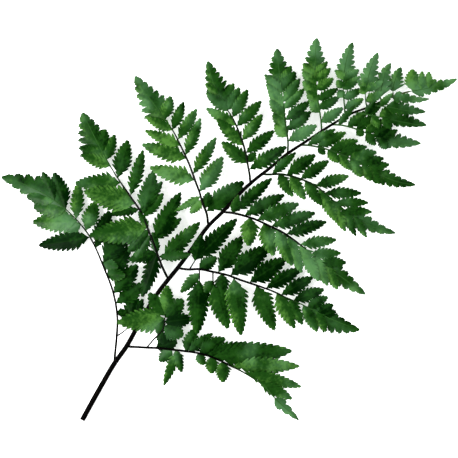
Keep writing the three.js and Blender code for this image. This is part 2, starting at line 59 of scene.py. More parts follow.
BLADE = 0.42  # thickness of a leaflet
FLOOR = 0.375  # lowest height of a leaflet's middle surface
SOFT = 0.8  # how gently a drooping leaflet meets the table
FLAT = 0.05  # a surface that would stand less than this over that height lies flat on it
CAMBER = 0.2  # fall of a leaflet from its midrib to its edge, per mm
TURN = 0.2  # tilt of a long leaflet about its midrib, so that each lies over the next like a tile
LONG = 28  # length from which a leaflet has all of that tilt, a shorter one has less
BOW = 0.005  # sideways curve of a leaflet towards the tip of its pinna, per length
SHOULDER = 0.14  # where the toothless foot of a leaflet ends, along its length
FULLNESS = 1.33  # how much wider a leaflet's outline is than its listed width before it is cut
BLUNT_UNDER = 26  # a leaflet shorter than this has a blunt foot
EAR = 0.15  # how much wider a leaflet is just past its foot, on the side of the pinna's tip
TOOTH_LENGTH = 8.5  # a leaflet has one more tooth a side for each of these of its length
FIRST_TEETH = 3.6  # and these before them, rounded
FEWEST_TEETH, MOST_TEETH = 4, 10
SMALL, GROWN = 14, 40  # lengths of the leaflets with the shallowest and the deepest notches
TOOTH_PUSH = 0.32  # how far a tooth's point leans forward, over the tooth's length
SWEEP = 0.3  # forward lean of the teeth, per mm of width
SUNWARD = (-0.74, 0.67)  # the way to the light, in plan
SUN = 0.45  # how much lighter the half of a leaflet that faces it is
LEAN = 0.7  # how much a side vein runs forward, per mm out from the midrib
PUFF = 0.26  # rise of the middle of a lobe over the furrows beside it, on a broad blade
BROAD = 6  # half width from which a blade has all of that rise
RIB = 0.16  # depth of the sunk midrib
RIB_REACH = 0.45  # half width of the sunk strip
WAVE = 0.22  # rise and fall of a blade's margin
LOBE_NOTCH = 0.32  # depth of the notches between an end blade's lobes at its base
TOOTH_NOTCH = 0.14  # depth of the notches between the small teeth of a lobe
END_FULLNESS = 1.1  # how much wider an end blade is than its listed width before it is cut
END_SWEEP = 0.45  # forward lean of its lobes, per mm out from the midrib
END_FOOT = 0.05  # where they begin, along its length
END_POINT = 0.35  # length of its point past the last lobe, over the length of a lobe
LOBE_TEETH = 3  # small teeth on each lobe
COSTA_FOOT = 1.1  # radius of a pinna's stalk at its foot
COSTA_TIP = 0.5  # and where its end blade begins
COSTA_SPARE = 0.1  # the least that a stalk is thicker at its foot than there
COSTA_POINT = 0.12  # radius of a stalk at the tip of its end blade
LONG_COSTA = 90  # length from which a stalk is as thick as any at its foot
TIP_STALK = 0.7  # radius of the stalk in the frond's own tip
SIDE_STALK = (0.75, 0.4)  # radius of a side stalk at its foot and at its end
SIDE_RISE = 0.08  # rise of a side stalk, per mm along the frond
OVERLAP = 0.8  # how far a green stalk reaches into its dark foot
SLIM_FROM, SLIM_TO, SLIM = 230, 300, 0.72  # plan x between which stalks thin to this part
GREEN_FROM, GREEN_TO, GREEN = 210, 320, 0.7  # and between which their feet turn this green

# Each pinna: "costa" is the plan line of its stalk, "lift" its arch over a straight fall, "end"
# the height of its tip before it meets the table, "drop" the fall of its left and right leaflets
# per length, "apex" the start of its toothed end blade along the costa, that blade's left and
# right half width and its lobes a side, "stalks" the side stalks of a twice divided leaflet.
# A leaflet is foot x, foot y, tip x, tip y, width and, where it has its own, its fall per length.
PINNAE = [
  {"name": "pinna_left_01", "lift": 14, "end": -4, "drop": [0.16, 0.22], "apex": [150, 15, 17, 6],
    "costa": [[52, 18], [60, 24], [70, 33], [80, 43], [88, 54], [95, 67], [101, 83], [107, 100],
      [110.5, 115], [111, 133], [109, 150], [104, 168], [96, 186], [88, 199]],
    "stalks": [[[70, 33], [77, 32], [83, 32]]],
    "leaflets": [[109.5, 111, 72, 135, 13.5], [110, 127, 82, 153, 15], [110, 141, 91, 162, 13],
      [107, 154, 93, 173, 10], [112, 117, 134, 130, 12], [111, 130, 134, 152, 10],
      [111, 141, 124, 172, 13], [107, 153, 117, 179, 9], [83, 47, 90, 42.5, 6, 0.0],
      [88, 54, 118, 50, 12], [92, 62, 124, 66, 14], [98, 75, 129, 82, 14], [102, 86, 146, 98, 16],
      [108, 100, 137, 116, 13], [99, 79, 110, 66, 9, -0.1], [82, 32.5, 108, 52, 12, 0.1],
      [103, 89, 110, 75, 8, -0.1], [110, 123, 98, 128, 8], [83, 32, 108, 41.5, 9, 0.05]]},
  {"name": "pinna_left_02", "lift": 10, "end": -4, "drop": [0.04, 0.24], "apex": [118, 20, 14, 6],
    "costa": [[134, 40], [138, 50], [142, 60], [146, 70], [150, 80], [153, 88], [156, 97], [157.5, 106],
      [159, 118], [161, 133], [164, 148], [168, 165], [176, 193]],
    "stalks": [],
    "leaflets": [[141, 54.5, 188, 57, 12], [142, 59, 163, 42, 8, -0.12], [149, 71, 193, 87, 13],
      [156, 94, 188, 116, 13], [157, 92, 181, 96, 9], [160, 113, 193, 135, 10],
      [161, 131, 189, 150, 13], [164, 149, 184, 161, 8], [142, 62, 108, 43, 11], [141, 63, 121, 74, 9],
      [143, 62, 152, 78, 6, 0.0], [149, 83, 155, 99, 5, 0.0], [149, 82, 125, 79, 10],
      [149, 84, 110, 112, 17], [156, 105, 132, 143, 17], [159, 127, 131, 153, 13],
      [163, 143, 151, 167, 9], [164, 154, 154, 172, 9], [165, 157, 181, 170, 9], [151, 71, 178, 70, 9],
      [148, 77, 121, 70, 8], [165, 97, 187, 104, 9], [155, 100, 134, 114, 6]]},
  {"name": "pinna_left_03", "lift": 5, "end": -4, "drop": [0.07, 0.24], "apex": [100, 15, 14, 6],
    "costa": [[190, 50], [196, 58], [200, 68], [204, 76], [208, 86], [213, 98], [216, 107], [219, 117],
      [222, 128], [224, 141], [225.5, 155], [227, 170], [230, 186]],
    "stalks": [],
    "leaflets": [[197, 60, 238, 57.5, 15], [205, 76, 239, 85, 12.5], [210, 91, 246, 101, 9.5],
      [216, 107, 247, 122, 9], [220, 121, 250, 130, 9], [223, 130, 246, 142, 8], [202, 73, 177, 78, 5],
      [201, 70, 186, 68, 7], [206, 87, 187, 120, 12.5], [215, 104, 195, 139, 12],
      [219, 116, 205, 146, 9], [222, 130, 213, 154, 8], [224, 143, 241, 153, 9],
      [199, 63, 210, 71, 7]]},
  {"name": "pinna_left_04", "lift": 4, "end": -2, "drop": [0.1, 0.24], "apex": [76, 10, 14, 6],
    "costa": [[240, 53], [245, 58], [250, 66], [255, 74], [260, 84], [264, 94], [267, 104], [269, 115],
      [272, 128], [277, 141], [284, 154]],
    "stalks": [],
    "leaflets": [[248, 61, 284.5, 55, 11, -0.06], [255, 74, 286, 72, 9.5], [261, 84, 288, 89, 9.5],
      [265, 96, 295, 98, 9.5], [267, 104, 293, 113, 9], [269, 111, 289, 119, 8],
      [270, 117, 288, 125, 7], [251, 66, 246.5, 95, 10.5], [259, 80, 256.5, 112, 10],
      [265, 97, 256, 125, 9], [268, 110, 265, 135, 8], [272, 127, 269.5, 141, 5],
      [252, 67, 262, 69, 6]]},
  {"name": "pinna_left_05", "lift": 4, "end": 0, "drop": [0.12, 0.26], "apex": [54, 13.5, 13, 6],
    "costa": [[281, 50], [287, 56], [293, 64], [299, 73], [305, 81], [312, 91], [320, 102], [327, 112],
      [335, 122]],
    "stalks": [],
    "leaflets": [[287, 58, 315.5, 51, 10, -0.03], [294, 65, 320, 63, 9.5], [298, 72, 325, 70, 8.5],
      [304, 80, 329, 81, 7.5], [307, 85, 332, 90, 8], [312, 92, 333, 97, 10], [290, 61, 290, 76, 9],
      [295, 68, 294, 83, 8], [299, 73, 300.5, 94, 8], [304, 80, 304.5, 100, 7], [307, 84, 307.5, 106, 7],
      [312, 91, 312, 113, 7], [316, 97, 334, 103, 7]]},
  {"name": "pinna_left_06", "lift": 4, "end": 0, "drop": [0.12, 0.26], "apex": [44, 13, 12, 6],
    "costa": [[315, 45], [321, 52], [327, 61], [333, 70], [340, 79], [348, 88], [357, 98], [366, 106]],
    "stalks": [],
    "leaflets": [[319, 51, 342, 47, 8, 0.02], [326, 60, 346, 56, 7], [330, 67, 350, 62, 6.5],
      [335, 74, 353, 71, 7.5], [340, 79, 357, 79, 6.5], [325, 57, 325, 70, 8], [329, 64, 329, 78, 8],
      [333, 70, 332, 87, 8], [337, 76, 337, 93, 7], [342, 81, 342, 98, 6], [344, 84, 359, 85, 5.5]]},
  {"name": "pinna_left_07", "lift": 4, "end": 2, "drop": [0.12, 0.36], "apex": [31, 9, 11, 6],
    "costa": [[338, 40], [345, 49], [351, 57], [358, 64], [366, 71], [376, 78], [386, 83]],
    "stalks": [],
    "leaflets": [[342, 46, 360, 41, 7, 0.05], [347, 53, 365, 48, 6.5], [352, 59, 371, 57, 6.5],
      [357, 64, 374, 62, 7], [348, 53, 349, 61, 6], [353, 59, 354, 68, 6], [359, 65, 360, 74, 6]]},
  {"name": "pinna_left_08", "lift": 8, "end": 4, "drop": [0.08, 0.36], "apex": [15, 9, 11, 6],
    "costa": [[356, 33], [361, 40], [368, 47], [377, 53], [386, 58], [396, 62]],
    "stalks": [],
    "leaflets": [[359, 38, 376, 34, 7, 0.0], [366, 45, 382, 41, 6, 0.02], [363, 43, 365, 50, 6],
      [369, 48, 371, 55, 6]]},
  {"name": "pinna_left_09", "lift": 5, "end": 6, "drop": [0.12, 0.22], "apex": [5, 9, 9, 5],
    "costa": [[369, 29], [374, 35], [381, 40], [389, 45], [398, 48]],
    "stalks": [],
    "leaflets": []},
  {"name": "pinna_left_10", "lift": 0, "end": 8, "drop": [0.12, 0.22], "apex": [4, 7, 10, 5],
    "costa": [[380, 26], [385, 31], [391, 35], [397, 38], [402, 39.5]],
    "stalks": [],
    "leaflets": []},
  {"name": "pinna_right_01", "lift": 8, "end": -4, "drop": [0.18, 0.14], "apex": [140, 6, 6, 3],
    "costa": [[70, 20], [76, 15], [83, 8], [90, 1], [97, -7], [104, -15], [112, -25], [118, -35],
      [123, -47], [128, -60], [131.5, -72], [134, -84], [133.5, -97], [136, -124]],
    "stalks": [[[82, 9], [92, 10], [103, 11], [113, 19]]],
    "leaflets": [[109.5, 16, 78.3, 41.5, 16, -0.19], [111, 17.2, 133, 18, 13, -0.02],
      [113, 19, 131, 36, 11, -0.24], [88, 3, 105, -5, 11], [98, -6, 82, -7, 9],
      [101, -11, 71, -25, 7.5], [107, -18, 132, -20, 8], [112, -25, 137, -30, 12],
      [117, -34, 108, -45, 9], [121, -43, 110, -57, 10], [114, -30, 150, -50, 12],
      [121, -32, 172, -77, 17], [125, -51, 168, -91, 12.6], [129, -62, 157, -105, 10.6],
      [133, -77, 144, -107, 9.6], [105, -15, 124, -7, 10], [97.5, -11, 90, -27, 7],
      [112, -23, 108, -35, 7], [112, 18.2, 115, 42, 11, -0.3], [108, 14.8, 127, 1, 12, 0.06],
      [104.5, 12.2, 112, -5, 13, 0.06], [101, 11, 95, 1, 9, 0.06], [96, 10.4, 110, 18.5, 7, -0.05]]},
  {"name": "pinna_right_02", "lift": 8, "end": -4, "drop": [0.26, 0.06], "apex": [122, 9, 16, 6],
    "costa": [[147, 40], [153, 34], [160, 28], [166, 20], [171, 13], [175, 7], [179, -1], [184, -10],
      [189, -19], [194, -29], [198, -39], [203, -50], [208, -63], [213, -76], [219, -89], [226, -102]],
    "stalks": [[[154, 33.5], [163, 36]], [[160, 27.5], [156, 23], [153, 20]],
      [[167, 18.5], [163, 14], [160, 10]]],
    "leaflets": [[162, 37, 213, 38, 13, -0.04], [162, 36, 181, 48, 9, -0.4], [161, 29, 178, 25.5, 9.5],
      [172, 17, 206, 24, 14], [175, 6, 218, 2, 15.5], [184, -9, 221, -15, 14], [190, -22, 225, -30, 11],
      [196, -35, 227, -42, 10.5], [201, -46, 227, -56, 10], [206, -57, 225, -63, 8],
      [160, 24, 135, 24, 8], [154, 21, 121, -12, 15], [158, 12, 144, -26, 14], [162, 13, 150, 10, 8],
      [175, 2, 148, -38, 14.5], [185, -15, 172, -54, 13.5], [195, -31, 186, -64, 11],
      [199, -42, 193, -66, 8], [204, -54, 198, -79, 8], [209, -66, 204, -84, 7],
      [210, -67, 224, -71, 7], [211, -73, 222, -77, 6], [171, 12, 158, -3, 10]]},
  {"name": "pinna_right_03", "lift": 7, "end": -4, "drop": [0.24, 0.08], "apex": [98, 10, 12, 6],
    "costa": [[208, 50], [213, 44], [219, 35], [224, 26], [229, 14], [233, 4], [236, -8], [238, -20],
      [240, -33], [242, -46], [245, -60], [250, -83]],
    "stalks": [],
    "leaflets": [[213, 44, 258, 43.5, 10, 0.04], [213, 44, 227, 52, 6, -0.35], [219, 36, 256, 26, 11],
      [224, 26, 260, 12, 11.5], [229, 14, 265, -3, 11], [234, 1, 267, -15, 10],
      [238, -14, 263, -32, 9], [240, -26, 258, -43, 8], [242, -37, 256, -52, 8],
      [221, 32, 204, 14, 12], [227, 20, 214, -6, 12], [231, 9, 220, -23, 10.5], [234, -2, 222, -33, 9.5],
      [237, -14, 228, -48, 10], [239, -28, 231, -56, 9], [241, -42, 235, -64, 8]]},
  {"name": "pinna_right_04", "lift": 6, "end": -3, "drop": [0.24, 0.1], "apex": [88, 9, 8, 5],
    "costa": [[252, 51], [258, 47], [265, 41], [271, 33], [276, 24], [280, 14], [282, 2], [283.5, -10],
      [286, -23], [290, -37], [296, -50], [304, -62]],
    "stalks": [],
    "leaflets": [[259, 46, 287, 46, 7, -0.05], [270, 38, 298, 33.5, 10.5], [275, 27, 303, 22, 9],
      [279, 14, 307, 1, 9], [281, 4, 305, -17, 8.5], [283, -7, 304, -27, 7.5], [285, -17, 301, -35, 6.5],
      [264, 43, 260, 20, 8], [270, 35, 266, 11, 8.5], [277, 23, 273, -2, 8.5], [281, 10, 273, -22, 9],
      [282, -3, 273, -32, 9], [284, -15, 277, -41, 7], [287, -27, 283, -48, 6]]},
  {"name": "pinna_right_05", "lift": 5, "end": -2, "drop": [0.24, 0.1], "apex": [66, 9, 9, 6],
    "costa": [[293, 48], [299, 43], [305, 35], [310, 27], [315, 17], [319, 7], [323, -4], [327, -16],
      [334, -30], [344, -43]],
    "stalks": [],
    "leaflets": [[298, 44, 325, 38, 7, -0.03], [304, 38, 330, 30, 8.5], [309, 29, 333, 18, 8.5],
      [313, 21, 335, 9, 8], [317, 12, 338, 0, 9], [320, 4, 339, -8, 7.5], [323, -4, 339, -15, 7],
      [305, 37, 304, 28, 5], [309, 30, 308, 15, 7], [314, 21, 311, 4, 7], [318, 11, 314, -7, 8],
      [321, 1, 318, -15, 7], [324, -6, 322, -22, 7]]},
  {"name": "pinna_right_06", "lift": 4, "end": 0, "drop": [0.34, 0.1], "apex": [40, 12, 7, 6],
    "costa": [[325, 43], [331, 37], [337, 28], [342, 18], [347, 8], [353, -2], [361, -11], [371, -20]],
    "stalks": [],
    "leaflets": [[329, 39, 351, 42, 5, -0.2], [334, 33, 356, 31, 7], [338, 26, 359, 24, 7],
      [342, 19, 362, 16, 7], [346, 12, 364, 8, 7], [341, 28, 339, 18, 6], [344, 19, 341, 5, 7],
      [349, 8, 346, -4, 7], [349, 6, 364, 2, 6]]},
  {"name": "pinna_right_07", "lift": 5, "end": -2, "drop": [0.34, 0.04], "apex": [26, 12, 6, 6],
    "costa": [[345, 37], [351, 32], [357, 24], [363, 16], [370, 6], [377, -3], [385, -12]],
    "stalks": [],
    "leaflets": [[352, 31, 366, 33, 5, -0.2], [359, 21, 380, 19, 6], [356, 26, 353, 14, 6],
      [361, 19, 360, 7, 6], [354, 29, 370, 28, 6]]},
  {"name": "pinna_right_08", "lift": 7, "end": 6, "drop": [0.34, 0.04], "apex": [14, 9, 6, 6],
    "costa": [[361, 32], [366, 27], [372, 20], [378, 12], [385, 4], [392, -3]],
    "stalks": [],
    "leaflets": [[366, 27, 381, 28, 5, -0.1]]},
  {"name": "pinna_right_09", "lift": 12, "end": 7, "drop": [0.2, 0.1], "apex": [4, 6, 5, 5],
    "costa": [[377, 27], [383, 21], [389, 14], [395, 8], [402, 3]],
    "stalks": [],
    "leaflets": []},
  {"name": "frond_tip", "lift": 0, "end": -2, "drop": [0.1, 0.1], "apex": [2, 10, 7, 6],
    "costa": [[393, 19.5], [400, 15], [408, 10], [417, 4.5], [425, 1.5], [431, 0]],
    "stalks": [],
    "leaflets": [[396, 18, 408, 32, 11], [402, 14, 413, 25, 6], [407, 11, 417, 21, 6]]}
]

# painted light and shade with some of the leaves' own tone: how light the leaflets on the two
# sides of each pinna are, from -1 (deep) to 1 (light), the side that faces the light the
# lighter; first the side that lies left of the way from the pinna's foot to its tip, then the right
SIDE_TONE_AND_SHADE = {
    "pinna_left_01": (0.15, -0.55), "pinna_left_02": (0.15, -0.35), "pinna_left_03": (0.45, -0.1),
    "pinna_left_04": (0.3, -0.15), "pinna_left_05": (0.35, -0.15), "pinna_left_06": (0.4, 0.0),
    "pinna_left_07": (0.4, 0.1), "pinna_left_08": (0.5, 0.2), "pinna_left_09": (0.5, 0.2),
    "pinna_left_10": (0.4, 0.2), "pinna_right_01": (-0.1, 0.1), "pinna_right_02": (-0.65, 0.15),
    "pinna_right_03": (-0.25, 0.6), "pinna_right_04": (-0.2, 0.1), "pinna_right_05": (-0.1, 0.0),
    "pinna_right_06": (-0.2, 0.0), "pinna_right_07": (-0.2, 0.1), "pinna_right_08": (0.0, 0.2),
    "pinna_right_09": (0.0, 0.2), "frond_tip": (0.5, 0.3),
}
TONE_SPREAD = 0.3  # how far a leaflet may be from the tone of its side
END_SPREAD = 0.1  # and an end blade from the middle of its pinna's two tones

# how much painted bluish sheen, a painted reflection of the light, lies on the leaflets of a pinna,
# where there is any
PAINTED_SHEEN = {
    "pinna_left_01": 0.1, "pinna_left_03": 0.1, "pinna_left_04": 0.1, "pinna_left_05": 0.3,
    "pinna_left_06": 0.4, "pinna_left_07": 0.5, "pinna_left_08": 0.6, "pinna_left_09": 0.6,
    "pinna_left_10": 0.6, "pinna_right_01": 0.12, "pinna_right_03": 0.15, "frond_tip": 0.5,
}
END_PAINTED_SHEEN = 0.35  # how much more of it lies on the end blade

# the tones of leaflets that differ from their side, by their place in the pinna's "leaflets":
# painted shade on leaflets lying in shadow and painted light on those facing the light, with
# some of their own tone
OWN_TONE_AND_SHADE = {
    "pinna_left_01": {
        0: -1.0, 1: 0.35, 2: 0.2, 3: 0.1, 4: 0.1, 5: 0.2, 6: -0.6, 7: -0.5, 8: -0.8, 9: -0.4,
        10: -0.5, 11: -0.9, 12: -0.8, 13: -0.8, 14: 0.1, 15: -0.9, 16: 0.0, 17: 0.2, 18: -1.0,
    },
    "pinna_left_02": {8: -1.0, 9: -0.6, 12: -0.5, 13: 0.1, 20: -0.3, 22: -0.8},
    "pinna_right_01": {
        0: 0.45, 1: -0.5, 2: 0.3, 3: -0.8, 7: -0.4, 10: -0.55, 11: -0.2, 12: 0.4, 13: 0.25,
        14: 0.3, 15: -0.5, 18: -0.2, 19: -1.0, 20: -0.4, 21: -0.9, 22: -0.6,
    },
    "pinna_right_02": {10: 0.0, 11: -0.55, 12: -0.35, 13: -0.4, 14: -0.1, 15: 0.0, 22: -0.5},
    "pinna_right_03": {9: 0.25, 10: 0.35, 11: 0.3, 12: 0.4},
}


def settled(z):
    """Height of a middle surface: z where it is high, easing to FLOOR by a softplus as z falls."""
    soft = SOFT * np.logaddexp(0, (z - FLOOR) / SOFT) - FLAT
    return FLOOR + np.maximum(0, soft)


def through(points, per_span=10):
    """Samples of a uniform Catmull-Rom curve through the points, with mirrored end points."""
    p = np.array(points, float)
    p = np.vstack([2 * p[0] - p[1], p, 2 * p[-1] - p[-2]])
    t = (np.arange(per_span) / per_span)[None, :, None]
    a, b, c, d = (p[k:len(p) - 3 + k, None, :] for k in range(4))
    spans = 0.5 * (
        2 * b + (c - a) * t + (2 * a - 5 * b + 4 * c - d) * t**2 + (3 * b - a - 3 * c + d) * t**3
    )
    return np.vstack([spans.reshape(-1, p.shape[1]), p[-2:-1]])


class Line:
    """A sampled curve with the length travelled at each sample."""

    def __init__(self, samples):
        self.p = samples
        steps = np.linalg.norm(np.diff(samples[:, :3], axis=0), axis=1)
        self.s = np.concatenate([[0], np.cumsum(steps)])
        self.length = self.s[-1]

    def at(self, s):
        """Points at the given lengths, by straight interpolation."""
        s = np.clip(s, 0, self.length)
        return np.stack([np.interp(s, self.s, self.p[:, k]) for k in range(3)], axis=-1)

    def heading(self, s, reach=3.0):
        """Unit directions at the given lengths, from the points a reach before and after."""
        away = self.at(s + reach) - self.at(s - reach)
        return away / np.linalg.norm(away, axis=-1, keepdims=True)

    def nearest(self, x, y):
        """The length travelled at the sample nearest to a plan point, and how far that is."""
        away = np.hypot(self.p[:, 0] - x, self.p[:, 1] - y)
        k = int(np.argmin(away))
        return self.s[k], away[k]


def closed_rings(rings):
    """Faces of a skin over equal rings (ring by ring), with each end closed by one face."""
    count, around = rings
    k = np.arange(count - 1)[:, None] * around
    a = k + np.arange(around)[None, :]
    b = k + (np.arange(around)[None, :] + 1) % around
    quads = np.stack([a, b, b + around, a + around], axis=-1).reshape(-1, 4)
    first = np.arange(around)[::-1]
    last = (count - 1) * around + np.arange(around)
    return quads.tolist() + [first.tolist(), last.tolist()]


class Skin:
    """Gathers closed shells, with what the materials read at each of their points."""

    def __init__(self):
        self.points, self.faces, self.blade, self.tint = [], [], [], []
        self.count = 0

    def add(self, points, rings, blade, tint):
        """A shell of rings of points, in mm, with two rows of three numbers for each point.

        blade: the phase of the side veins, the place across, 1 on the upper face or 0 on the
        lower. tint: the tone, with painted light and shade; the painted sheen of a blade or how green
        a stalk is, where 0 is the black of the stem; 1 on a blade, 0 on a stalk and how pale it is on
        a cut face."""
        faces = closed_rings(rings)
        ring = points.reshape(rings[0], rings[1], 3)
        a = ring[:-1]
        b = np.roll(ring, -1, axis=1)[:-1]
        c = ring[1:]
        outward = np.sum(np.cross(b - a, c - a) * (a - ring[:-1].mean(axis=1, keepdims=True)))
        if outward < 0:
            faces = [face[::-1] for face in faces]
        self.faces += [[i + self.count for i in face] for face in faces]
        self.points.append(points)
        self.blade.append(blade)
        self.tint.append(tint)
        self.count += len(points)

    def mesh(self, name, shift):
        """One mesh object of all shells, in metres, at the frame's place."""
        points = (np.vstack(self.points) * MM + shift).astype(np.float32)
        mesh = bpy.data.meshes.new(name)
        mesh.from_pydata(points.tolist(), [], self.faces)
        mesh.polygons.foreach_set("use_smooth", np.ones(len(mesh.polygons), bool))
        for label, values in (("blade", self.blade), ("tint", self.tint)):
            layer = mesh.attributes.new(label, "FLOAT_VECTOR", "POINT")
            layer.data.foreach_set("vector", np.vstack(values).astype(np.float32).ravel())
        ends = np.empty(len(mesh.edges) * 2, int)
        mesh.edges.foreach_get("vertices", ends)
        on_margin = np.abs(np.vstack(self.blade)[:, 1]) > 0.99
        mesh.edges.foreach_set("use_edge_sharp", on_margin[ends.reshape(-1, 2)].all(axis=1))
        mesh.update()
        piece = bpy.data.objects.new(name, mesh)
        bpy.context.collection.objects.link(piece)
        return piece


# rings of the cut face, as parts of the stem's radius, and how pale each is
CUT_RINGS = (0.06, 0.3, 0.55, 0.8, 0.86, 0.97)
CUT_SHADES = (0.55, 0.7, 0.9, 1.0, 0.35, 0.1)
CUT_DISH = 0.25  # how far the middle of the cut face is sunk
FURROW_TURN = 0.45  # half width of a stalk's furrow, in radians about the stalk
LOWEST = 0.02  # the least height of a stalk's skin over the table


def add_tube(
    skin, line, start, stop, radius, green, tone, around=10, step=2.0, groove=0.0, face=False
):
    """A tapered stalk: circles about a line, each with the radius and greenness of its place.

    radius and green are functions of the length travelled; groove is the depth, as a part of
    the radius, of the furrow along the upper side, a bell curve of the angle; face makes the
    first end a slightly dished cut face with a dark rind and a pale heart."""
    count = max(3, int((stop - start) / step) + 1)
    s = np.linspace(start, stop, count)
    middle = line.at(s)
    ahead = line.heading(s)
    across = np.cross([0.0, 0.0, 1.0], ahead)
    across /= np.linalg.norm(across, axis=1, keepdims=True)
    above = np.cross(ahead, across)
    angle = (np.arange(around) + 0.5) / around * 2 * math.pi
    r = radius(s)[:, None]
    furrow = 1 - groove * np.exp(-(((angle - math.pi / 2) / FURROW_TURN) ** 2))[None, :]
    r = r * furrow
    points = (
        middle[:, None, :]
        + across[:, None, :] * (r * np.cos(angle))[..., None]
        + above[:, None, :] * (r * np.sin(angle))[..., None]
    )
    points[..., 2] = np.maximum(points[..., 2], LOWEST)
    along = np.repeat(s, around)
    cut = np.zeros_like(along)
    if face:
        inner = np.array(CUT_RINGS)[:, None, None]
        dish = ahead[0] * CUT_DISH * (1 - inner**2)
        rings = middle[0] + (points[0] - middle[0])[None] * inner + dish
        points = np.concatenate([rings, points])
        along = np.concatenate([np.full(around * len(CUT_RINGS), s[0]), along])
        cut = np.concatenate([np.repeat(CUT_SHADES, around), cut])
        count += len(CUT_RINGS)
    blade = np.stack([along / 4, np.zeros_like(along), np.ones_like(along)], axis=1)
    tint = np.stack([np.full_like(along, tone), green(along), cut], axis=1)
    skin.add(points.reshape(-1, 3), (count, around), blade, tint)


# where the foot of a leaflet has opened, along its length, and the power that it opens with
BLUNT_FOOT = (0.22, 0.4)
NARROW_FOOT = (0.32, 0.6)


def profile(u, blunt):
    """A leaflet's half width at u of its length, as a part of half its outline's width.

    The foot opens with u over its shoulder to a power; the body narrows as 1.12 less 0.28 u;
    the tip closes as 1 less the power 3.2 of u, all to the power 0.9."""
    u = np.clip(u, 0, 1)
    shoulder, power = BLUNT_FOOT if blunt else NARROW_FOOT
    return np.clip(u / shoulder, 0.02, 1) ** power * (1.12 - 0.28 * u) * (1 - u**3.2) ** 0.9


# places across a blade, from its right edge to its left, and back again on the lower face
ACROSS = np.array([-1, -0.86, -0.62, -0.36, -0.14, 0, 0.14, 0.36, 0.62, 0.86, 1])
ROUND = np.concatenate([ACROSS, ACROSS[-2:0:-1]])
UPPER = np.concatenate([np.ones(len(ACROSS)), np.zeros(len(ACROSS) - 2)])


def add_blade(skin, place, left, right, along, phase, pitch, full, look, sun, rng):
    """A thin toothed plate: place(along, out) gives its middle surface.

    left and right are the margins' distances from the midrib at each station, and full is the
    same without teeth. The midrib is sunk as a bell curve, each lobe is puffed by a cosine
    along its own vein, and the margins wave by a sine. look is the tone, with painted light and
    shade, from -1 to 1, and the painted sheen, from 0 to 1. sun is how far the left half is turned
    to the light, from -1 to 1: that half is painted lighter by it and the right half darker."""
    out = np.where(ROUND[None, :] > 0, left[:, None], right[:, None]) * ROUND[None, :]
    wide = np.maximum(np.maximum(left, right), 0.05)[:, None]
    rows = np.repeat(along[:, None], len(ROUND), axis=1)
    middle = place(rows, out)
    edge = np.abs(ROUND)[None, :]
    half = BLADE / 2 * (0.25 + 0.75 * np.sqrt(1 - edge**4))
    vein = phase[:, None] + LEAN * (full[:, None] - np.abs(out)) / pitch
    lobed = 0.5 - 0.5 * np.cos(2 * np.pi * vein)
    puff = PUFF * np.minimum(1, (wide / BROAD) ** 2) * (lobed - 0.4) * edge**0.7
    rib = -RIB * np.exp(-((out / RIB_REACH) ** 2)) * np.minimum(1, wide / 2)
    wave = WAVE * edge**2 * np.sin(2.4 * vein + rng.uniform(0, 6.3)) * np.minimum(1, wide / 5)
    upper = UPPER[None, :]
    middle[..., 2] += wave + puff + rib
    middle[..., 2] = settled(middle[..., 2]) + np.where(upper > 0, half, -half)
    count = len(along)
    blade = np.stack([vein, ROUND[None, :] + 0 * vein, upper + 0 * vein], axis=-1)
    tint = np.ones((count, len(ROUND), 3))
    tint[..., 0] = look[0] + SUN * sun * np.sign(ROUND) * np.abs(ROUND) ** 0.5
    tint[..., 1] = look[1]
    skin.add(middle.reshape(-1, 3), (count, len(ROUND)), blade.reshape(-1, 3), tint.reshape(-1, 3))


# stations along one tooth, closer together at the notch
TOOTH_STEPS = np.array([0.0, 0.07, 0.22, 0.42, 0.62, 0.8, 0.93])


def lobe(phase):
    """A rounded forward tooth: a quarter sine from 0 at the notch to 1 at 0.6, then down."""
    t = phase % 1.0
    rise = np.sin(np.pi / 2 * np.minimum(t / 0.6, 1)) ** 0.65
    drop = np.clip((1 - t) / 0.4, 0, 1) ** 0.5
    return np.where(t < 0.6, rise, drop)


